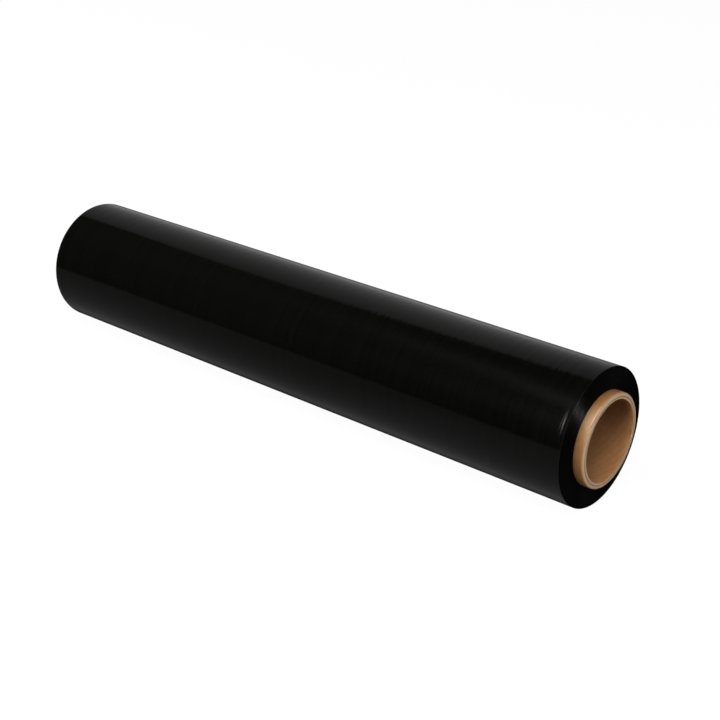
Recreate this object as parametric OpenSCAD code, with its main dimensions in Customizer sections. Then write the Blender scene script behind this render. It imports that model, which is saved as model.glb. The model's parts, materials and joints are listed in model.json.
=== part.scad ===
// Hand roll of black stretch film wound on a paperboard core, lying on its side.
// The roll's axis runs along X, and the floor that it lies on is z = 0.

/* [Film] */
// Width of the film, which is the length of the wound part
film_width = 450; // [250:1:600]
// Depth of film wound on the core, from the core to the outer turn
film_build = 14.6; // [6:0.1:40]
// How far the outer turns are rounded over at each end, along the axis
rim_length = 1.6; // [0.4:0.1:4]
// How far the same rounding drops towards the axis
rim_drop = 0.6; // [0.2:0.1:2]
// Width of the flat spot that the soft winding lies on
flat_width = 9.6; // [6:0.2:14]
// Number of turn rings that stand out on each end of the film
turn_rings = 15; // [4:1:24]
// Height of those rings over the turns between them
turn_relief = 0.24; // [0.02:0.02:0.6]

/* [Core] */
// Diameter of the bore that a spindle or a pair of hand grips goes in
core_bore_d = 50.8; // [20:0.1:80]
// Thickness of the core's wall
core_wall = 4.4; // [2:0.1:8]
// How far the core stands out past each end of the film
core_stub = 6.6; // [3:0.1:25]
// Rounding of the cut edge on the outside of the core
core_edge_r = 0.6; // [0.1:0.1:0.9]
// Rounding of the cut edge in the bore
core_lip_r = 0.3; // [0.1:0.1:0.7]
// Number of board plies that show on the core's cut ends
core_plies = 6; // [2:1:10]
// Depth of the open seam in the middle of the wall, the deepest of the seams
ply_seam = 0.3; // [0.04:0.02:0.6]

/* [Hidden] */
$fn = 180;

core_bore_r = core_bore_d / 2;
core_r = core_bore_r + core_wall;
roll_r = core_r + film_build;
film_end = film_width / 2;
core_end = film_end + core_stub;

// The flat spot is a chord of the winding, so it sets how high the axis lies.
axis_h = sqrt(pow(roll_r, 2) - pow(flat_width / 2, 2));

// Steps in each rounded edge, and the part of a ply that its seam takes up
round_steps = 5;
seam_share = 0.34;
// Seams away from the middle of the wall are this much shallower
closed_seam = 0.3;

// A golden-angle step gives the rings uneven places and heights that don't repeat.
golden_angle = 137.5;
ring_jitter = 0.28;
least_ring = 0.35;

film_colour = [0.035, 0.035, 0.037];
core_colour = [0.66, 0.5, 0.34];

// A profile point is [distance from the axis, distance along the axis].
function quarter_round(corner, r, h, outer) = [
    for (i = [0 : round_steps])
        let (a = 90 * i / round_steps)
        outer
            ? [corner[0] - r * (1 - sin(a)), corner[1] - h * (1 - cos(a))]
            : [corner[0] + r * (1 - cos(a)), corner[1] - h * (1 - sin(a))]
];

// The far end mirrors the near end, in the opposite order, which closes the profile.
function far_end(points) = [
    for (i = [len(points) - 1 : -1 : 0]) [points[i][0], -points[i][1]]
];

// Ends of the turns: crests at odd steps, the valleys between them at even ones.
ring_steps = 2 * turn_rings;
function ring_place(i) =
    i == 0 || i == ring_steps ? i : i + ring_jitter * sin(golden_angle * i);
function ring_fall(i) =
    i % 2 == 1 ? 0 : turn_relief * (least_ring + (1 - least_ring) * abs(sin(golden_angle * i)));
function turn_ends() =
    let (depth = film_build - rim_drop)
    [
        for (i = [0 : ring_steps - 1])
            let (share = ring_place(i) / ring_steps)
            [core_r + depth * share, film_end - ring_fall(i)]
    ];

// Cut end of the core: a V seam between each two plies, the middle one open.
function seam_depth(k) = ply_seam * (k == round(core_plies / 2) ? 1 : closed_seam);
function cut_end() =
    let (
        inner = core_bore_r + core_lip_r,
        ply = (core_wall - core_lip_r - core_edge_r) / core_plies,
        half_seam = seam_share * ply / 2
    )
    [
        for (k = [1 : core_plies - 1])
            each [
                [inner + k * ply - half_seam, core_end],
                [inner + k * ply, core_end - seam_depth(k)],
                [inner + k * ply + half_seam, core_end]
            ]
    ];

module along_floor() {
    translate([0, 0, axis_h])
        rotate([0, 90, 0])
            children();
}

module turned(near_end) {
    rotate_extrude()
        polygon(concat(near_end, far_end(near_end)));
}

// Spiral-wound paperboard tube, open from end to end
module core_tube() {
    lip = quarter_round([core_bore_r, core_end], core_lip_r, core_lip_r, false);
    edge = quarter_round([core_r, core_end], core_edge_r, core_edge_r, true);
    color(core_colour)
        along_floor()
            turned(concat(lip, cut_end(), edge));
}

// All the turns of film as one solid, from the core's surface out
module film_roll() {
    rim = quarter_round([roll_r, film_end], rim_drop, rim_length, true);
    color(film_colour)
        difference() {
            along_floor()
                turned(concat(turn_ends(), rim));
            translate([-film_width, -roll_r, -2 * roll_r])
                cube([2 * film_width, 2 * roll_r, 2 * roll_r]);
        }
}

core_tube();
film_roll();
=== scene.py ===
# Hand roll of black stretch film on a kraft board core: its looks, the floor, the lights and the camera.
import json
import math

import bpy
import numpy as np
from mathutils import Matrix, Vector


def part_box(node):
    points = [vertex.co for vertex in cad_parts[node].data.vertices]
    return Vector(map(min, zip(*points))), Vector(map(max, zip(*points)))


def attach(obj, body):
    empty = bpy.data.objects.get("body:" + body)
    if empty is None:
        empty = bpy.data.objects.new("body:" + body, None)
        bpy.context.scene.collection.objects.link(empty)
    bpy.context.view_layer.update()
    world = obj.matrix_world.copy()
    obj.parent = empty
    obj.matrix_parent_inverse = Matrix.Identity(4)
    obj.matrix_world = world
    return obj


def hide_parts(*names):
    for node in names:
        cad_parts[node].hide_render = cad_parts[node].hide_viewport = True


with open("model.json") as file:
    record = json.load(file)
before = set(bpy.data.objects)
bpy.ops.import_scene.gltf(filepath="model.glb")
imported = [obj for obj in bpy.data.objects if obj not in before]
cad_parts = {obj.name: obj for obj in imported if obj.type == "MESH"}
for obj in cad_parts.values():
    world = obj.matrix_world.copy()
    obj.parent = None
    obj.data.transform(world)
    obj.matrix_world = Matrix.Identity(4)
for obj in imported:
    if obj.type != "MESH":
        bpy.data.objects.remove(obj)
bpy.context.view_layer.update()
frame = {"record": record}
print("frame loaded")

mm = 0.001

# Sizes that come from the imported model
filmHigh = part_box("film_roll")[1]
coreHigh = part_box("core_tube")[1]
boreMount = next(m for m in frame["record"]["mounts"] if m["name"] == "core_bore")
axisHeight = boreMount["pos_m"][2]
boreRadius = boreMount["dims"]["r_mm"] * mm
coreRadius = coreHigh.z - axisHeight
wallDepth = coreRadius - boreRadius
coreEnd = coreHigh.x
filmRadius = filmHigh.z - axisHeight
filmEnd = filmHigh.x
nearEnd = (filmEnd, 0, axisHeight)


# Shared shapes and noise

# Random values at the corners of evenly spaced cells from 0 to 1, joined by cosine steps and read at places.
def smoothNoise(places, cells, seed):
    values = np.random.default_rng(seed).uniform(-1, 1, cells + 2)
    spot = np.clip(places, 0, 1) * cells
    low = np.minimum(spot.astype(int), cells)
    share = 0.5 - 0.5 * np.cos(np.pi * (spot - low))
    return values[low] * (1 - share) + values[low + 1] * share


# A sum of whole waves round the circle with random sizes and phases, so that it closes on itself.
def roundNoise(angles, waves, seed):
    rng = np.random.default_rng(seed)
    total = np.zeros_like(angles)
    for count in range(1, waves + 1):
        total += rng.uniform(-1, 1) / count * np.cos(count * angles + rng.uniform(0, 2 * np.pi))
    return total


# Shares of a quarter ellipse from one side to the next: (1 - cos, sin) of evenly spaced angles.
def quarterRound(count):
    turn = np.linspace(0, np.pi / 2, count)
    return 1 - np.cos(turn), np.sin(turn)


# 0 below low, 1 above high, and 3t^2 - 2t^3 between them.
def easedStep(value, low, high):
    share = np.clip((value - low) / (high - low), 0, 1)
    return share * share * (3 - 2 * share)


def addObject(name, data):
    thing = bpy.data.objects.new(name, data)
    bpy.context.scene.collection.objects.link(thing)
    return thing


# Corners of the faces of a grid that closes on itself both ways, as rows and columns. The last face of a
# round ends at a row or column one past the end, which is the first again.
def closedFaces(steps, turns):
    i, j = (part.ravel() for part in np.meshgrid(np.arange(steps), np.arange(turns), indexing="ij"))
    return np.stack([i, i + 1, i + 1, i], -1), np.stack([j, j, j + 1, j + 1], -1)


# Six times the volume inside a closed mesh. It is negative where the faces point inwards.
def signedVolume(points, quads):
    first, second, third, fourth = (points[quads[:, k]] for k in range(4))
    return (np.cross(first, second) * third).sum() + (np.cross(first, third) * fourth).sum()


# A surface over a closed profile and a closed circle. Profile step i at angle a lies at
# x = along, y = -out * cos a, z = axis height + out * sin a, and no point goes below the floor.
# The UV map's first number is the distance along the profile in metres, the second the share of the turn.
# Each profile step gives the number of the material on its faces.
def latheMesh(name, along, out, angles, finishes):
    steps, turns = along.shape
    y = -out * np.cos(angles)[None, :]
    z = np.maximum(axisHeight + out * np.sin(angles)[None, :], 0)
    points = np.stack([along, y, z], -1).reshape(-1, 3)
    row, column = closedFaces(steps, turns)
    quads = row % steps * turns + column % turns
    if signedVolume(points, quads) < 0:
        row, column, quads = row[:, ::-1], column[:, ::-1], quads[:, ::-1]
    mesh = bpy.data.meshes.new(name)
    mesh.vertices.add(len(points))
    mesh.vertices.foreach_set("co", points.astype(np.float32).ravel())
    mesh.loops.add(quads.size)
    mesh.loops.foreach_set("vertex_index", quads.astype(np.int32).ravel())
    mesh.polygons.add(len(quads))
    mesh.polygons.foreach_set("loop_start", np.arange(0, quads.size, 4, dtype=np.int32))
    mesh.update(calc_edges=True)
    gap = np.hypot(np.diff(along[:, 0], append=along[0, 0]), np.diff(out[:, 0], append=out[0, 0]))
    reach = np.concatenate([[0], np.cumsum(gap)])
    uv = np.stack([reach[row], column / turns], -1)
    mesh.uv_layers.new(name="along").data.foreach_set("uv", uv.astype(np.float32).ravel())
    mesh.polygons.foreach_set("use_smooth", np.ones(len(quads), bool))
    mesh.polygons.foreach_set("material_index", np.repeat(finishes, turns).astype(np.int32))
    mesh.validate()
    return addObject(name, mesh)


# Shared node helpers

def newMaterial(name):
    material = bpy.data.materials.new(name)
    material.use_nodes = True
    return material, material.node_tree, material.node_tree.nodes["Principled BSDF"]


# A material for the floor or a card, with nothing yet on its surface socket.
def bareMaterial(name):
    material, tree, shader = newMaterial(name)
    tree.nodes.remove(shader)
    return material, tree, tree.nodes["Material Output"].inputs["Surface"]


# Links a socket to an input, or sets the input to a plain value.
def feed(tree, socket, value):
    if isinstance(value, bpy.types.NodeSocket):
        tree.links.new(value, socket)
    else:
        socket.default_value = value


# Adds a node, sets its options, then its inputs by name, or by number as i0, i1 and so on.
def put(tree, kind, settings=None, **inputs):
    node = tree.nodes.new("ShaderNode" + kind)
    for key, value in (settings or {}).items():
        setattr(node, key, value)
    for key, value in inputs.items():
        feed(tree, node.inputs[int(key[1:])] if key[1:].isdigit() else node.inputs[key], value)
    return node


def calc(tree, operation, a, b=0.0, c=0.0):
    return put(tree, "Math", {"operation": operation}, i0=a, i1=b, i2=c).outputs[0]


def times(tree, a, b):
    return calc(tree, "MULTIPLY", a, b)


# Maps a value from one range to another and holds it there.
def spread(tree, value, low, high, toLow, toHigh):
    return put(tree, "MapRange", None, i0=value, i1=low, i2=high, i3=toLow, i4=toHigh).outputs[0]


# Blends two colours by a share from 0 to 1.
def mix(tree, share, first, second):
    return put(tree, "Mix", {"data_type": "RGBA"}, i0=share, i6=first, i7=second).outputs[2]


def scaled(tree, color, factor):
    return put(tree, "VectorMath", {"operation": "SCALE"}, i0=color, i3=factor).outputs[0]


def noise(tree, vector, scale, detail, rough):
    texture = put(tree, "TexNoise", None, Vector=vector, Scale=scale, Detail=detail, Roughness=rough)
    return texture.outputs["Fac"]


def bumped(tree, height, strength, depth):
    return put(tree, "Bump", None, Height=height, Strength=strength, Distance=depth).outputs[0]


# A bell of height 1 round a centre: exp(-((value - centre) / width)^2).
def bell(tree, value, centre, width):
    off = calc(tree, "DIVIDE", calc(tree, "SUBTRACT", value, centre), width)
    return calc(tree, "EXPONENT", times(tree, times(tree, off, off), -1.0))


def shade(color, factor=1.0):
    return tuple(min(1.0, part * factor) for part in color) + (1.0,)


# Place from the roll's axis: parts along X, Y and Z, the radius, and the angle from the front over the top.
def rollPlace(tree):
    where = put(tree, "TexCoord").outputs["Object"]
    centred = put(tree, "Mapping", None, Vector=where, Location=(0, 0, -axisHeight)).outputs[0]
    x, y, z = put(tree, "SeparateXYZ", None, Vector=centred).outputs
    radius = calc(tree, "SQRT", calc(tree, "ADD", times(tree, y, y), times(tree, z, z)))
    angle = calc(tree, "ARCTAN2", z, times(tree, y, -1.0))
    return {"centred": centred, "x": x, "y": y, "z": z, "radius": radius, "angle": angle}


# The wound film

film = {
    "turns": 224,  # faces round the roll
    "ringSteps": 66,  # steps over the ends of the turns, from the core to the rim
    "sideSteps": 250,
    "rimSteps": 9,
    "rimLength": 0.4 * mm,
    "rimDrop": 0.25 * mm,
    "ringDepth": 0.12 * mm,  # how unevenly the turns end
    "ringCells": (46, 9),  # fine and broad unevenness from the core to the rim
    "ringShares": (0.5, 0.5, 0.35),  # of an even step, and of the fine and the broad unevenness
    "ringWave": 0.25,  # how much it changes round the roll
    "ringFade": (30, 14),  # how fast it comes in from the core, and goes out at the rim
    "ripple": 0.003 * mm,  # bands round the roll, from uneven film
    "bands": ((120, 1.0), (60, 1.3), (23, 2.5)),  # cells along the roll and their height in ripples
    "sag": 0.04 * mm,
    "sagCells": 7,  # along the roll
    "sagWaves": 3,  # and round it
    "liftFade": 20,  # bands and sag die away below the outer turns by this power of the radius
    "tailStep": 0.06 * mm,  # the loose end of the outer turns, on the hidden side
    "tailAngle": math.radians(214),
    "tailWander": 0.02,  # radians
    "ior": 1.5,
    "color": (0.0026, 0.0026, 0.0023),
    "roughness": 0.115,
    # waves per metre along the roll, and round it
    "lineWaves": (250, 16),
    "hazeWaves": (650, 8),
    "darkWaves": (330, 11),
    "glintStreakWaves": (1300, 30),
    "lineDepth": 0.12 * mm,
    "hazeFrom": (0.05, 0.2),  # the lines show more over this stretch towards the near end
    "haze": (1.0, 1.4),
    "dulling": 0.09,
    "darkFrom": (0.66, 0.74),  # noise above this makes a darker line
    "dark": (1.0, 0.8),
    "toneFrom": (-0.1, 0.17),  # the film is blacker over this stretch towards the near end
    "tone": (1.03, 0.78),
    # painted glints: short pale streaks on creases near the rim, where the outer turns ride up and catch the
    # light
    "creaseGlintColor": (0.085, 0.085, 0.082),
    "creaseGlintAngle": math.radians(34),
    "creaseGlintReach": math.radians(6.5),
    "creaseGlintInset": 3.1 * mm,
    "creaseGlintWidth": 1.5 * mm,
    "glintStreakFrom": (0.52, 0.6),
    "rimWhiteningAndHighlight": (0.006, 0.006, 0.006),  # the outer turns' edges are painted a little paler: partly whitened film, partly a painted highlight along the rim
    "rimFrom": (0.5 * mm, 1.3 * mm),
    "rimShare": 0.8,
    "endColor": (0.0009, 0.0009, 0.0009),  # the turns' edges trap light between them
    "endRoughness": 0.56,
    "endUneven": 0.28,
    "endGloss": 0.095,
    "endStretch": 1.0,  # the grooves between the turns draw the gloss out from the core
    "grooveWaves": (1100, 10),
    "grooveShare": 0.6,  # of the fine grooves to the broad ones
    "broadWaves": (420, 6),
    "grooveDepth": 0.04 * mm,
}


# The profile runs out over the near end, round the rim, back along the side, and in over the far end.
# It closes along the core. Returns places, radii, and the share of the way from the core to the rim.
def filmProfile():
    s = film
    share = np.linspace(0, 1, s["ringSteps"])
    endOut = coreRadius + (filmRadius - s["rimDrop"] - coreRadius) * share
    alongRim, dropRim = quarterRound(s["rimSteps"])
    rimOut = filmRadius - s["rimDrop"] + s["rimDrop"] * dropRim[1:]
    rimPlace = filmEnd - s["rimLength"] * alongRim[1:]
    sideEnd = filmEnd - s["rimLength"]
    side = np.linspace(sideEnd, -sideEnd, s["sideSteps"])[1:-1]
    end = np.full(len(share), filmEnd)
    place = np.concatenate([end, rimPlace, side, -rimPlace[::-1], -end])
    out = np.concatenate([endOut, rimOut, np.full(len(side), filmRadius), rimOut[::-1], endOut[::-1]])
    fromCore = np.concatenate([share, np.ones(len(rimOut) * 2 + len(side)), share[::-1]])
    return place, out, fromCore


# Added to the radius of the side: bands along the roll + a sag round it - a slow fall to the step at the
# outer turn's loose end.
def sideLift(place, angles):
    s = film
    share = (place + filmEnd) / (2 * filmEnd)
    bands = sum(smoothNoise(share, cells, seed=10 + cells) * size for cells, size in s["bands"])
    slow = smoothNoise(share, s["sagCells"], seed=3)[:, None]
    slow = slow * roundNoise(angles, s["sagWaves"], seed=5)[None, :]
    tailPath = s["tailAngle"] + s["tailWander"] * smoothNoise(share, cells=9, seed=21)
    sinceTail = np.mod(angles[None, :] - tailPath[:, None], 2 * np.pi) / (2 * np.pi)
    return s["ripple"] * bands[:, None] + s["sag"] * slow - s["tailStep"] * sinceTail


# Noise from the core to the rim, with a seed of its own at each end.
def endNoise(atNearEnd, fromCore, cells, seed):
    return np.where(atNearEnd, smoothNoise(fromCore, cells, seed), smoothNoise(fromCore, cells, seed + 1))


# How far each turn ends short of the film's width: an uneven step from turn to turn, which differs between
# the two ends and fades at the core and at the rim.
def ringBack(atNearEnd, fromCore, angles):
    s = film
    fineCells, broadCells = s["ringCells"]
    even, fineShare, broadShare = s["ringShares"]
    fine = fineShare * endNoise(atNearEnd, fromCore, fineCells, seed=31)
    broad = broadShare * endNoise(atNearEnd, fromCore, broadCells, seed=33)
    fadeIn, fadeOut = s["ringFade"]
    fade = np.clip((1 - fromCore) * fadeOut, 0, 1) * np.clip(fromCore * fadeIn, 0, 1)
    wave = 1 + s["ringWave"] * roundNoise(angles, waves=4, seed=41)[None, :]
    back = s["ringDepth"] * fade[:, None] * (even + fine + broad)[:, None] * wave
    return np.maximum(back, 0)


# Side: radius + lift, which dies away inwards. Ends: place - the uneven step. The turns by the core follow
# its oval.
def buildFilm():
    s = film
    angles = np.linspace(0, 2 * np.pi, s["turns"], endpoint=False)
    place, out, fromCore = filmProfile()
    fadedLift = sideLift(place, angles) * ((out / filmRadius) ** s["liftFade"])[:, None]
    outGrid = out[:, None] + fadedLift + ovalShift(angles) * (1 - fromCore)[:, None]
    placeGrid = place[:, None] - np.sign(place)[:, None] * ringBack(place > 0, fromCore, angles)
    hair = 0.01 * mm
    onEnd = np.where(np.abs(place) > filmEnd - s["rimLength"] + hair, 1, 0)
    return latheMesh("film_winding", placeGrid, outGrid, angles, np.maximum(onEnd, np.roll(onEnd, -1)))


# Place on the film: as on the roll, with the distance along the profile.
def filmPlace(tree):
    uv = put(tree, "UVMap", {"uv_map": "along"}).outputs[0]
    return {**rollPlace(tree), "distance": put(tree, "SeparateXYZ", None, Vector=uv).outputs[0]}


# Noise drawn out round the circle, by its waves per metre along the profile and round the roll.
def drawnNoise(tree, at, waves, detail, rough=0.5):
    alongWaves, aroundWaves = waves
    vector = put(tree, "CombineXYZ", None,
                 X=times(tree, at["distance"], alongWaves),
                 Y=times(tree, at["y"], aroundWaves),
                 Z=times(tree, at["z"], aroundWaves)).outputs[0]
    return noise(tree, vector, 1.0, detail, rough)


# Near-black gloss. Fine lines round the roll tilt it a little, dull it and make its black uneven.
def sideMaterial():
    s = film
    material, tree, shader = newMaterial("blackFilm")
    at = filmPlace(tree)
    lines = drawnNoise(tree, at, s["lineWaves"], detail=3.0, rough=0.6)
    hazy = calc(tree, "SUBTRACT", drawnNoise(tree, at, s["hazeWaves"], detail=2.0, rough=0.65), 0.5)
    haze = calc(tree, "MULTIPLY_ADD", hazy, spread(tree, at["x"], *s["hazeFrom"], *s["haze"]), 1.0)
    dark = spread(tree, drawnNoise(tree, at, s["darkWaves"], detail=1.0), *s["darkFrom"], *s["dark"])
    tone = times(tree, times(tree, haze, dark), spread(tree, at["x"], *s["toneFrom"], *s["tone"]))
    # pale streaks at one angle near the rim: painted glints where the creased outer turns catch the light
    glintStreaks = spread(tree, drawnNoise(tree, at, s["glintStreakWaves"], detail=1.0), *s["glintStreakFrom"], 0, 1)
    creaseGlints = times(tree, bell(tree, at["angle"], s["creaseGlintAngle"], s["creaseGlintReach"]),
                    bell(tree, at["x"], filmEnd - s["creaseGlintInset"], s["creaseGlintWidth"]))
    color = scaled(tree, s["color"], tone)
    color = mix(tree, times(tree, glintStreaks, creaseGlints), color, shade(s["creaseGlintColor"]))
    # the rim is painted paler all round, partly whitened film edges and partly a painted highlight along the
    # rim
    toEnd = calc(tree, "SUBTRACT", filmEnd, calc(tree, "ABSOLUTE", at["x"]))
    color = mix(tree, spread(tree, toEnd, *s["rimFrom"], s["rimShare"], 0), color, shade(s["rimWhiteningAndHighlight"]))
    feed(tree, shader.inputs["Base Color"], color)
    feed(tree, shader.inputs["IOR"], s["ior"])
    feed(tree, shader.inputs["Roughness"], calc(tree, "MULTIPLY_ADD", hazy, s["dulling"], s["roughness"]))
    feed(tree, shader.inputs["Normal"], bumped(tree, lines, 1.0, s["lineDepth"]))
    return material


# The ends of the turns: fine grooves round the core, which spread light outwards from it.
def turnsMaterial():
    s = film
    material, tree, shader = newMaterial("turnEnds")
    at = filmPlace(tree)
    fine = drawnNoise(tree, at, s["grooveWaves"], detail=2.0, rough=0.7)
    broad = drawnNoise(tree, at, s["broadWaves"], detail=1.0)
    lines = calc(tree, "MULTIPLY_ADD", fine, s["grooveShare"], broad)
    uneven = calc(tree, "SUBTRACT", calc(tree, "ADD", fine, broad), 1.0)
    tangent = put(tree, "Tangent", {"direction_type": "UV_MAP", "uv_map": "along"}).outputs[0]
    feed(tree, shader.inputs["Base Color"], shade(s["endColor"]))
    feed(tree, shader.inputs["IOR"], s["ior"])
    feed(tree, shader.inputs["Specular IOR Level"], s["endGloss"])
    feed(tree, shader.inputs["Anisotropic"], s["endStretch"])
    roughness = calc(tree, "MULTIPLY_ADD", uneven, s["endUneven"], s["endRoughness"])
    feed(tree, shader.inputs["Roughness"], roughness)
    feed(tree, shader.inputs["Normal"], bumped(tree, lines, 1.0, s["grooveDepth"]))
    feed(tree, shader.inputs["Tangent"], tangent)
    return material


# The kraft board core

core = {
    "turns": 192,  # faces round the tube
    "faceSteps": 44,
    "sideSteps": 24,
    "boreSteps": 40,
    "mouthSteps": 5,
    "roundSteps": 9,
    "edgeLength": 1.9 * mm,  # the cut pressed the outer plies down over this length
    "edgeDrop": 0.45 * mm,
    "lipRound": 0.4 * mm,
    "mouthFlare": 0.3 * mm,  # the bore opens by this over its last stretch
    "mouthLength": 3.0 * mm,
    "crown": 0.5 * mm,  # how far the cut slopes back to its outer edge
    "crownPlace": 1.2 * mm,  # from the bore
    "plies": 6,
    "seamDepth": (0.05 * mm, 0.3 * mm, 0.08 * mm, 0.1 * mm, 0.05 * mm),  # from the bore out
    "seamWidth": 0.13 * mm,
    "seamSwing": 0.25 * mm,  # the open seam lies nearer the bore where the tube is narrow
    "cutWander": 0.09 * mm,  # how unevenly the tube was cut
    "wanderReach": 2.5 * mm,  # from the end inwards
    "ovalDepth": 0.42 * mm,
    "ovalAngle": math.radians(50),
    "grainWaves": (260, 1500),  # mottle and fibres, per metre
    "grainShares": (0.55, 0.45),
    "grainDepth": 0.12 * mm,
    "rawRoughness": 0.85,  # of the cut and the bore
    "rawGloss": 0.25,
    "inner": (0.38, 0.176, 0.066),
    # the range of the grain, and how much darker and paler it makes each board
    "innerGrain": (0.35, 0.65, 0.88, 1.1),
    "outerGrain": (0.35, 0.65, 0.83, 1.14),
    "cutGrain": (0.3, 0.7, 0.88, 1.08),
    # the calendered outside, with a painted sheen over a stretch round the tube and a rubbed edge
    "outer": (0.23, 0.098, 0.029),
    "outsideRoughness": 0.54,
    "outsideGloss": 0.9,
    "paintedSheen": (0.345, 0.24, 0.118),
    "paintedSheenAngle": math.radians(42),
    "paintedSheenReach": math.radians(17),
    "paintedSheenShare": 0.45,
    "rubbedShare": 0.7,
    "rubbedAndLitTo": 0.03 * mm,
    # the cut, with glue in the open seam and a slanted stretch where more of the inner ply shows
    "cut": (0.53, 0.375, 0.23),
    "seam": (0.2, 0.145, 0.095),
    "openSeam": 1.75 * mm,  # from the bore
    # where each fades in the wall, and its share of the colour
    "glueFade": (0.15 * mm, 0.65 * mm, 0.8),
    "innerFade": (0.15 * mm, 0.4 * mm, 0.8),
    "outerFade": (0.85 * mm, 0.6 * mm, 0.55),
    "slantAngle": math.radians(165),
    "slantReach": math.radians(22),
    "slantDepth": 0.8 * mm,
    "slantThins": 0.7,
    # the bore, paler towards its mouth: painted light, as the light that reaches into the bore fades with
    # depth
    "helixPitch": 4.2 * mm,
    "helixStarts": 19,  # a whole number of lines round the bore closes the helix
    "helixShare": 0.05,
    "mouthLightInsets": (7 * mm, 1 * mm),
    "mouthPaintedLight": 1.22,
    "speck": (0.12, 0.035, 0.015),
    "speckShare": 0.75,
    # distance from the near end in mm, angle in degrees, half width and half length in mm
    "specks": ((4.4, -163.0, 0.3, 0.4), (1.0, -171.0, 0.3, 0.7), (0.7, -167.0, 0.3, 0.6),
               (1.6, -151.5, 0.2, 0.3), (10.4, -150.0, 0.25, 0.3)),
}


# The core is a little oval: this is added to its radius, -depth * cos 2(angle - narrow angle).
def ovalShift(angles):
    return -core["ovalDepth"] * np.cos(2 * (angles - core["ovalAngle"]))[None, :]


# One cut end from the bore out: the rounded lip, the face and the pressed edge. Its middle stands out by a
# parabola, and each seam is a narrow bell-shaped groove. Returns places, radii, the grooves' depth at each
# angle, and the number of rows of bare board.
def cutEnd(angles):
    s = core
    back, along = quarterRound(s["roundSteps"])
    lipOut = boreRadius + s["mouthFlare"] + s["lipRound"] * back
    edgeOut = coreRadius - s["edgeDrop"] * (1 - along)
    faceOut = np.linspace(lipOut[-1], edgeOut[0], s["faceSteps"])[1:-1]
    top = boreRadius + s["crownPlace"]
    lipSunk, edgeSunk, faceSunk = (s["crown"] * ((part - top) / (edgeOut[0] - top)) ** 2
                                   for part in (lipOut[-1], edgeOut[0], faceOut))
    lipPlace = coreEnd - lipSunk - s["lipRound"] * (1 - along)
    edgePlace = coreEnd - edgeSunk - (s["edgeLength"] - edgeSunk) * back
    ply = (edgeOut[0] - lipOut[-1]) / s["plies"]
    seams = lipOut[-1] + ply * np.arange(1, s["plies"])
    depths = np.array(s["seamDepth"])
    swing = np.outer(depths == depths.max(), -s["seamSwing"] * np.cos(2 * (angles - s["ovalAngle"])))
    off = (faceOut[None, :, None] - seams[:, None, None] - swing[:, None, :]) / s["seamWidth"]
    groove = (depths[:, None, None] * np.exp(-off ** 2)).sum(0)
    groove = np.pad(groove, ((len(lipOut), len(edgeOut)), (0, 0)))
    place = np.concatenate([lipPlace, coreEnd - faceSunk, edgePlace])
    return place, np.concatenate([lipOut, faceOut, edgeOut]), groove, len(lipOut) + len(faceOut)


# The bore from the far mouth to the near one, flared at both by a parabola. Returns places and radii.
def boreProfile(lipPlace):
    s = core
    mouth = lipPlace - s["mouthLength"] * np.linspace(0, 1, s["mouthSteps"])[1:]
    middle = np.linspace(-mouth[-1], mouth[-1], s["boreSteps"])[1:-1]
    place = np.concatenate([-mouth, middle, mouth[::-1]])
    flare = s["mouthFlare"] * np.clip(1 - (lipPlace - np.abs(place)) / s["mouthLength"], 0, 1) ** 2
    return place, boreRadius + flare


# The profile runs out over the near cut end, along the outside, in over the far cut end, and back along
# the bore. The cuts wander slowly round the tube.
def buildCore():
    s = core
    angles = np.linspace(0, 2 * np.pi, s["turns"], endpoint=False)
    endPlace, endOut, endGroove, cutRows = cutEnd(angles)
    side = np.linspace(endPlace[-1], -endPlace[-1], s["sideSteps"])[1:-1]
    borePlace, boreOut = boreProfile(endPlace[0])
    place = np.concatenate([endPlace, side, -endPlace[::-1], borePlace])
    out = np.concatenate([endOut, np.full(len(side), coreRadius), endOut[::-1], boreOut])
    flat = [np.zeros((len(part), len(angles))) for part in (side, borePlace)]
    grooves = np.concatenate([endGroove, flat[0], endGroove[::-1], flat[1]])
    atEnd = np.clip((np.abs(place) - (coreEnd - s["wanderReach"])) / s["wanderReach"], 0, 1)
    wander = -np.abs(roundNoise(angles, waves=9, seed=51)) * s["cutWander"]
    placeGrid = place[:, None] + np.sign(place)[:, None] * (atEnd[:, None] * wander[None, :] - grooves)
    edgeRows = len(endPlace) - cutRows
    finishes = np.repeat([1, 0, 1, 2], [cutRows, 2 * edgeRows + len(side) - 1, cutRows, len(borePlace) + 1])
    return latheMesh("kraft_core", placeGrid, out[:, None] + ovalShift(angles), angles, finishes)


# Mottle of the pulp, and the fine fibres in it, from 0 to 1, with a bump from both.
def boardGrain(tree, shader, at, strength):
    mottleWaves, fibreWaves = core["grainWaves"]
    mottleShare, fibreShare = core["grainShares"]
    mottle = noise(tree, at["centred"], mottleWaves, detail=3.0, rough=0.6)
    fibre = noise(tree, at["centred"], fibreWaves, detail=2.0, rough=0.6)
    grain = calc(tree, "ADD", times(tree, mottle, mottleShare), times(tree, fibre, fibreShare))
    feed(tree, shader.inputs["Normal"], bumped(tree, grain, strength, core["grainDepth"]))
    return grain


# A colour made darker and paler by the grain, over a range of the grain.
def grained(tree, grain, color, change):
    low, high, darker, paler = change
    return mix(tree, spread(tree, grain, low, high, 0, 1), shade(color, darker), shade(color, paler))


def finishBoard(tree, shader, color, roughness, gloss):
    feed(tree, shader.inputs["Base Color"], color)
    feed(tree, shader.inputs["Roughness"], roughness)
    feed(tree, shader.inputs["Specular IOR Level"], gloss)


# How far the oval of the tube goes at an angle, from 1 where it is narrow to -1 where it is wide.
def narrowness(tree, at):
    return calc(tree, "COSINE", times(tree, calc(tree, "SUBTRACT", at["angle"], core["ovalAngle"]), 2.0))


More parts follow.
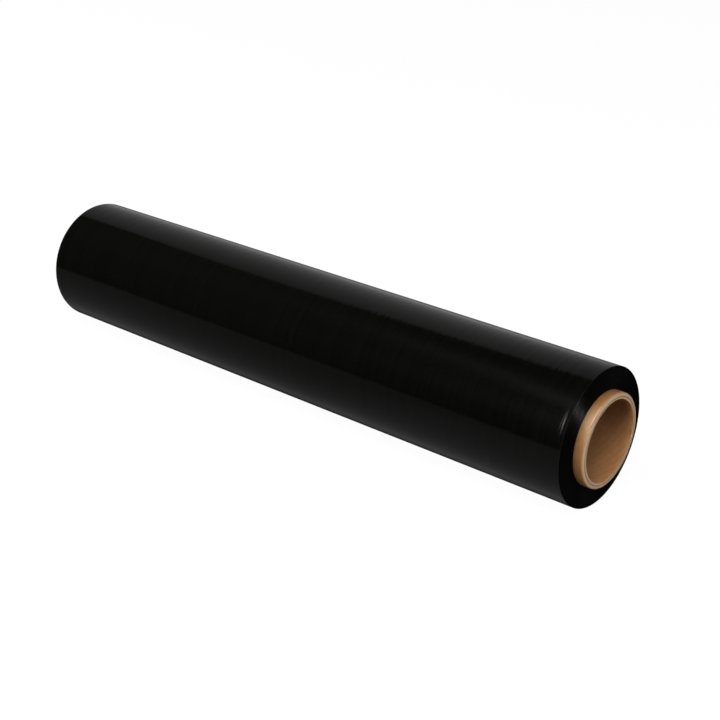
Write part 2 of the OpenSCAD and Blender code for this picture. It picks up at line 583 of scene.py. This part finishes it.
# Distance from the bore through the wall: radius + oval depth * narrowness - bore radius.
def wallPlace(tree, at, narrow):
    rounded = calc(tree, "MULTIPLY_ADD", narrow, core["ovalDepth"], at["radius"])
    return calc(tree, "SUBTRACT", rounded, boreRadius)


# Smooth calendered kraft, with a painted sheen that makes it paler round one angle, and paler where its edge
# was rubbed.
def outsideMaterial():
    s = core
    material, tree, shader = newMaterial("kraftOutside")
    at = rollPlace(tree)
    color = grained(tree, boardGrain(tree, shader, at, strength=0.12), s["outer"], s["outerGrain"])
    # a paler colour round one angle of the tube is a painted sheen, where the soft light catches the outside
    paintedSheen = bell(tree, at["angle"], s["paintedSheenAngle"], s["paintedSheenReach"])
    color = mix(tree, times(tree, paintedSheen, s["paintedSheenShare"]), color, shade(s["paintedSheen"]))
    wall = wallPlace(tree, at, narrowness(tree, at))
    rubbedAndLit = spread(tree, wall, wallDepth - s["edgeDrop"], wallDepth - s["rubbedAndLitTo"], s["rubbedShare"], 0)
    color = mix(tree, rubbedAndLit, color, shade(s["cut"], factor=0.9))
    finishBoard(tree, shader, color, s["outsideRoughness"], s["outsideGloss"])
    return material


# Pale fibres of the cut plies, with grey glue in the open seam and a browner ply at each face of the wall.
def cutMaterial():
    s = core
    material, tree, shader = newMaterial("cutBoard")
    at = rollPlace(tree)
    color = grained(tree, boardGrain(tree, shader, at, strength=0.6), s["cut"], s["cutGrain"])
    narrow = narrowness(tree, at)
    wall = wallPlace(tree, at, narrow)
    swung = calc(tree, "MULTIPLY_ADD", narrow, s["seamSwing"], wall)
    offSeam = calc(tree, "ABSOLUTE", calc(tree, "SUBTRACT", swung, s["openSeam"]))
    near, far, share = s["glueFade"]
    color = mix(tree, spread(tree, offSeam, near, far, share, 0), color, shade(s["seam"]))
    # the inner ply is thickest where the bore's edge was cut at a slant, and the outer one thins there
    slant = bell(tree, at["angle"], s["slantAngle"], s["slantReach"])
    inward = calc(tree, "MULTIPLY_ADD", slant, -s["slantDepth"], wall)
    near, far, share = s["innerFade"]
    innerShare = spread(tree, inward, s["mouthFlare"] + near, s["mouthFlare"] + far, share, 0)
    color = mix(tree, innerShare, color, shade(s["inner"]))
    far, near, share = s["outerFade"]
    outerShare = spread(tree, wall, wallDepth - far, wallDepth - near, 0, share)
    outerShare = times(tree, outerShare, calc(tree, "MULTIPLY_ADD", slant, -s["slantThins"], 1.0))
    color = mix(tree, outerShare, color, shade(s["outer"], factor=1.2))
    finishBoard(tree, shader, color, s["rawRoughness"], s["rawGloss"])
    return material


# Duller kraft in the bore, with faint slanted lines of the wound plies, a few dark red specks, and painted
# light that makes it paler towards each mouth.
def boreMaterial():
    s = core
    material, tree, shader = newMaterial("kraftBore")
    at = rollPlace(tree)
    advance = times(tree, at["x"], 2 * math.pi / s["helixPitch"])
    helix = calc(tree, "SINE", calc(tree, "MULTIPLY_ADD", at["angle"], s["helixStarts"], advance))
    grain = boardGrain(tree, shader, at, strength=0.5)
    lined = calc(tree, "MULTIPLY_ADD", helix, s["helixShare"], grain)
    color = grained(tree, lined, s["inner"], s["innerGrain"])
    # paler towards each mouth: painted light, brighter where light reaches into the bore
    paintedLightFrom, rubbedAndLitTo = (coreEnd - inset for inset in s["mouthLightInsets"])
    rubbedAndLit = spread(tree, calc(tree, "ABSOLUTE", at["x"]), paintedLightFrom, rubbedAndLitTo, 1.0, s["mouthPaintedLight"])
    color = scaled(tree, color, rubbedAndLit)
    for inset, degrees, halfWidth, halfLength in s["specks"]:
        spot = times(tree, bell(tree, at["x"], coreEnd - inset * mm, halfWidth * mm),
                     bell(tree, at["angle"], math.radians(degrees), halfLength * mm / boreRadius))
        color = mix(tree, times(tree, spot, s["speckShare"]), color, shade(s["speck"]))
    finishBoard(tree, shader, color, s["rawRoughness"], s["rawGloss"])
    return material


winding = buildFilm()
for finish in (sideMaterial, turnsMaterial):
    winding.data.materials.append(finish())
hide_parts("film_roll")
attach(winding, "root")
print("film built")

tube = buildCore()
for finish in (outsideMaterial, cutMaterial, boreMaterial):
    tube.data.materials.append(finish())
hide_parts("core_tube")
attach(tube, "root")
print("core built")


# The floor that is seen: pale by its own colour, with the roll's soft shadow on it

floorPaper = {
    "half": 4.5,  # half its width
    "color": 0.15,  # as light that bounces meets it
    "seenColor": 0.06,
    "seenGlow": 0.965,
}


def paperMaterial():
    s = floorPaper
    material, tree, surface = bareMaterial("palePaper")
    seen = put(tree, "LightPath").outputs["Is Camera Ray"]
    grey = spread(tree, seen, 0, 1, s["color"], s["seenColor"])
    color = put(tree, "CombineColor", None, i0=grey, i1=grey, i2=grey).outputs[0]
    glow = put(tree, "Emission", None, Strength=times(tree, seen, s["seenGlow"])).outputs[0]
    paper = put(tree, "BsdfDiffuse", None, Color=color).outputs[0]
    feed(tree, surface, put(tree, "AddShader", None, i0=glow, i1=paper).outputs[0])
    return material


def buildFloor():
    half = floorPaper["half"]
    mesh = bpy.data.meshes.new("floor")
    corners = [(-half, -half, 0), (half, -half, 0), (half, half, 0), (-half, half, 0)]
    mesh.from_pydata(corners, [], [(0, 1, 2, 3)])
    mesh.materials.append(paperMaterial())
    floor = addObject("floor", mesh)
    floor.visible_glossy = False


# Cards that only show in glossy surfaces, as cards that stand outside the picture do

# The glow is read from the sheet. No card lights a dull surface by way of a glossy one.
# Small bright cards are sampled like lamps, and wide dim ones are only found by the rays that reach them.
def glowMaterial(name, sampling):
    material, tree, surface = bareMaterial(name)
    material.cycles.emission_sampling = sampling
    value = put(tree, "Attribute", {"attribute_name": "glow"}).outputs["Fac"]
    straight = calc(tree, "LESS_THAN", put(tree, "LightPath").outputs["Diffuse Depth"], 0.5)
    feed(tree, surface, put(tree, "Emission", None, Strength=times(tree, value, straight)).outputs[0])
    return material


dimGlow = glowMaterial("dimGlow", "NONE")
brightGlow = glowMaterial("brightGlow", "FRONT_BACK")


# A sheet over a grid of points, with its glow at each.
def glowCard(name, points, glow, material):
    rows, columns = points.shape[:2]
    i, j = np.meshgrid(np.arange(rows - 1), np.arange(columns - 1), indexing="ij")
    first, second = i * columns + j, (i + 1) * columns + j
    quads = np.stack([first, first + 1, second + 1, second], -1)
    mesh = bpy.data.meshes.new(name)
    mesh.from_pydata(points.reshape(-1, 3).tolist(), [], quads.reshape(-1, 4).tolist())
    values = np.broadcast_to(glow, (rows, columns)).astype(np.float32).ravel()
    mesh.attributes.new("glow", "FLOAT", "POINT").data.foreach_set("value", values)
    mesh.materials.append(material)
    card = addObject(name, mesh)
    card.visible_camera = False
    card.visible_diffuse = False
    card.visible_shadow = False
    card.visible_transmission = False


cardShape = {"steps": 9, "half": 0.5, "evenTo": 0.3}  # in shares of its width and height, from the middle


# A flat card of a given width and height at a place, turned to face a target. Its glow is even in the
# middle and fades to its edges.
def facingCard(name, place, target, size, glow):
    place, target = np.array(place), np.array(target)
    ahead = (target - place) / np.linalg.norm(target - place)
    across = np.cross(ahead, (0, 0, 1))
    across /= np.linalg.norm(across)
    upward = np.cross(across, ahead)
    half, evenTo = cardShape["half"], cardShape["evenTo"]
    steps = np.linspace(-half, half, cardShape["steps"])
    u, v = np.meshgrid(steps, steps, indexing="ij")
    points = place + u[..., None] * size[0] * across + v[..., None] * size[1] * upward
    fade = (1 - easedStep(np.abs(u), evenTo, half)) * (1 - easedStep(np.abs(v), evenTo, half))
    glowCard(name, points, glow * fade, brightGlow)


# The floor as the film mirrors it

mirroredFloor = {
    "alongX": (-3, 2),
    "alongY": (-0.6, 3),
    "steps": (401, 361),
    "lift": 0.4 * mm,
    "glow": 0.07,
    "dip": 0.008,  # along X, before the near end
    "dipFrom": (-0.3, -0.05),
    "rise": 0.03,  # and at it
    "riseFrom": (-0.02, 0.12),
    "byRoll": 0.151,
    "byRollReach": 0.05,
    "edge": (-0.47, -0.267, -0.276),  # the front edge: a place along X, its Y there, and its slope
    "edgeSoft": (-0.012, 0.004),
    "underShade": 0.93,
    "underFrom": (-0.0285, -0.0235),
    "behind": 0.21,
    "behindFade": 0.8,  # towards the near end
    "behindFrom": (0.0, 0.25),
}


# Bright by the roll, fading to the front, shaded under the roll, and ending at a slanted front edge
def mirroredFloorGlow(x, y):
    s = mirroredFloor
    edgeX, edgeY, slope = s["edge"]
    edge = edgeY + slope * (x - edgeX)
    base = s["glow"] - s["dip"] * easedStep(x, *s["dipFrom"]) + s["rise"] * easedStep(x, *s["riseFrom"])
    front = base + s["byRoll"] * np.exp(-np.abs(y) / s["byRollReach"])
    front = front * easedStep(y, edge + s["edgeSoft"][0], edge + s["edgeSoft"][1])
    front = front * (1 - s["underShade"] * easedStep(y, *s["underFrom"]))
    behind = s["behind"] * (1 - s["behindFade"] * easedStep(x, *s["behindFrom"]))
    return np.where(y < 0, front, s["glow"] + (behind - s["glow"]) * easedStep(y, *s["behindFrom"]))


# A round room about the roll's axis. Angles are in degrees, from the front at 0 over the top.

room = {
    "radius": 1.3,
    "ends": (-4.0, 2.0),
    "angles": (-88, 184),
    "steps": (241, 545),
    # the upper edge of the dark flag: places along X and its angle there
    "flagPlace": (-1.6, -1.4, -1.22, -1.02, -0.83, -0.64, -0.52, -0.45),
    "flagAngle": (106.2, 103.6, 102.0, 102.6, 106.8, 110.0, 112.4, 115.4),
    "flagGlow": 0.004,
    "flagSoft": 1.0,
    # past the flag the back brightens downwards from an angle, faster past each step
    "backFrom": 105,
    "backGlow": 0.14,
    "backRise": 0.0036,
    "backSteps": ((40, 0.00005), (60, 0.0004)),
    # it is dimmer by a share outside a stretch along X: on the far side, and on the near side
    "farDim": (0.155, -1.3, -0.5),
    "nearDim": (0.6, -0.8, 0.0),
    # faint lights on the flag, which grow towards the near end: a high one, a low one and a shelf of light
    "nearFrom": (-0.45, 0.25),
    "nearMost": 0.5,
    "high": (0.1, 65, 9),
    "highFurther": (9, 2),  # further along the wall it lies higher and is wider
    "furtherFrom": (-0.55, -0.44),
    "low": (0.055, 33, 14),
    "shelfGlow": 0.008,
    "shelfFrom": (45, 60),  # degrees
    "shelfSoft": 4,
    "shelfPlace": (-0.9, -0.78, -0.72, -0.5, -0.44),
    "shelfAngle": (100, 95, 80, 79, 77),
    # the soft light hangs just inside the wall
    "softGlow": 28.0,
    "softInset": 0.01,
    "softAlong": (-0.12, 0.6),
    "softFull": (0.06, 0.35),  # full between these places
    "softAngle": 60,
    "softReach": 8,
    "softHalf": 20,
    "softFade": 5,
    "softSteps": (31, 41),
}


# exp(-((degrees - centre) / width)^2), times a strength
def roundLight(degrees, strength, centre, width):
    return strength * np.exp(-((degrees - centre) / width) ** 2)


# Dark flags in front and above, with faint lights on them, and a back that brightens downwards
def roomGlow(x, degrees):
    s = room
    edge = np.interp(x, s["flagPlace"], s["flagAngle"])
    past = degrees - s["backFrom"]
    back = s["backGlow"] + s["backRise"] * past
    for start, factor in s["backSteps"]:
        back = back + factor * np.maximum(past - start, 0) ** 2
    share, start, end = s["farDim"]
    back = back * (1 - share * (1 - easedStep(x, start, end)))
    share, start, end = s["nearDim"]
    back = back * (1 - share * easedStep(x, start, end))
    nearFrom, nearReach = s["nearFrom"]
    near = np.exp(np.minimum(x - nearFrom, s["nearMost"]) / nearReach)
    further = 1 - easedStep(x, *s["furtherFrom"])
    glow, centre, width = s["high"]
    highUp, highWider = s["highFurther"]
    high = roundLight(degrees, glow * near, centre + highUp * further, width + highWider * further)
    shelf = np.interp(x, s["shelfPlace"], s["shelfAngle"])
    soft = s["shelfSoft"]
    onShelf = easedStep(degrees, *s["shelfFrom"]) * (1 - easedStep(degrees, shelf - soft, shelf + soft))
    glow, centre, width = s["low"]
    faint = s["flagGlow"] + high + s["shelfGlow"] * onShelf + roundLight(degrees, glow * near, centre, width)
    pastEdge = easedStep(degrees, edge - s["flagSoft"], edge + s["flagSoft"])
    return np.where(degrees < 0, 0, faint) + (back - faint) * pastEdge


# The soft light over the room's own glow: eased in and out along X, and a bell round its angle
def softLightGlow(x, degrees):
    s = room
    light = roundLight(degrees, s["softGlow"], s["softAngle"], s["softReach"])
    start, end = s["softAlong"]
    fullFrom, fullTo = s["softFull"]
    light = light * easedStep(x, start, fullFrom) * (1 - easedStep(x, fullTo, end))
    off = np.abs(degrees - s["softAngle"])
    return roomGlow(x, degrees) + light * (1 - easedStep(off, s["softHalf"] - s["softFade"], s["softHalf"]))


# Points on the room's wall: x = along, and the angle round the roll's axis at a radius.
def roundWall(x, degrees, radius):
    turn = np.radians(degrees)
    return np.stack([x, -radius * np.cos(turn), axisHeight + radius * np.sin(turn)], -1)


# A grid over two ranges, by its numbers of steps.
def gridOver(first, second, steps):
    return np.meshgrid(np.linspace(*first, steps[0]), np.linspace(*second, steps[1]), indexing="ij")


buildFloor()

x, y = gridOver(mirroredFloor["alongX"], mirroredFloor["alongY"], mirroredFloor["steps"])
floorPoints = np.stack([x, y, np.full_like(x, mirroredFloor["lift"])], -1)
glowCard("floor_card", floorPoints, mirroredFloorGlow(x, y), dimGlow)

x, degrees = gridOver(room["ends"], room["angles"], room["steps"])
glowCard("room_card", roundWall(x, degrees, room["radius"]), roomGlow(x, degrees), dimGlow)

softAngles = (room["softAngle"] - room["softHalf"], room["softAngle"] + room["softHalf"])
x, degrees = gridOver(room["softAlong"], softAngles, room["softSteps"])
softPoints = roundWall(x, degrees, room["radius"] - room["softInset"])
glowCard("soft_light", softPoints, softLightGlow(x, degrees), brightGlow)

farSide, nearSide = room["ends"]
facingCards = {
    "right_end": {"place": (nearSide, 0, 0.5), "target": (0, 0, 0.5), "size": (4.0, 4.0), "glow": 0.02},
    "left_end": {"place": (farSide, 0, 0.5), "target": (0, 0, 0.5), "size": (4.0, 4.0), "glow": 0.15},
    "high_light": {"place": (1.01, -0.507, 0.954), "target": nearEnd, "size": (0.3, 0.3), "glow": 95.0},
}
for name, card in facingCards.items():
    facingCard(name, **card)
print("floor and cards built")


# Lights

worldGlow = {"dull": 0.06, "seen": 0.95}  # on dull surfaces, and as the camera and gloss see it


def buildWorld():
    world = bpy.data.worlds.new("paleRoom")
    bpy.context.scene.world = world
    world.use_nodes = True
    tree = world.node_tree
    background = tree.nodes["Background"]
    feed(tree, background.inputs["Color"], (1, 1, 1, 1))
    rays = put(tree, "LightPath").outputs
    seen = calc(tree, "MAXIMUM", rays["Is Camera Ray"], rays["Is Glossy Ray"])
    seen = calc(tree, "MAXIMUM", seen, rays["Is Transmission Ray"])
    feed(tree, background.inputs["Strength"], spread(tree, seen, 0, 1, worldGlow["dull"], worldGlow["seen"]))


# An area lamp of a given width and height at a place, turned to a target. Gloss shows the cards instead.
def softLamp(name, place, target, size, watts):
    lamp = bpy.data.lights.new(name, "AREA")
    lamp.shape = "RECTANGLE"
    lamp.size, lamp.size_y = size
    lamp.energy = watts
    holder = addObject(name, lamp)
    holder.location = place
    ahead = np.array(target) - np.array(place)
    across = math.hypot(ahead[0], ahead[1])
    turn = math.atan2(ahead[1], ahead[0]) - math.pi / 2
    holder.rotation_euler = (math.atan2(across, -ahead[2]), 0, turn)
    holder.visible_glossy = False


# The left key lamp stands behind the plane of the film's end, which shades the core's foot from it.
farEnd = (-filmEnd, 0, axisHeight)
lamps = {
    "key_left": {"place": (-0.03, -0.75, 1.454), "target": nearEnd, "size": (0.3, 0.5), "watts": 9.3},
    "key_right": {"place": (0.64, -0.75, 1.454), "target": nearEnd, "size": (0.4, 0.5), "watts": 8.8},
    "low_lamp": {"place": (0.08, -1.5, 0.5), "target": nearEnd, "size": (0.5, 0.5), "watts": 14.5},
    "near_end_lamp": {"place": (1.78, -0.18, 0.58), "target": nearEnd, "size": (0.5, 0.5), "watts": 13.5},
    "far_end_lamp": {"place": (-1.78, -0.18, 0.58), "target": farEnd, "size": (0.5, 0.5), "watts": 13.5},
}

buildWorld()
for name, lamp in lamps.items():
    softLamp(name, **lamp)
print("lights placed")


# Camera

shot = {
    "place": (0.593894, -0.651727, 0.439393),
    "lookDown": 25.104,  # degrees
    "bearing": 40.43,  # degrees to the left of +Y
    "lens": 70.693,
    "sensor": 36.0,
}
cameraData = bpy.data.cameras.new("camera")
cameraData.lens = shot["lens"]
cameraData.sensor_width = shot["sensor"]
camera = addObject("camera", cameraData)
camera.location = shot["place"]
camera.rotation_euler = (math.radians(90 - shot["lookDown"]), 0, math.radians(shot["bearing"]))
bpy.context.scene.camera = camera
bpy.context.scene.view_settings.view_transform = "Standard"
print("camera placed")
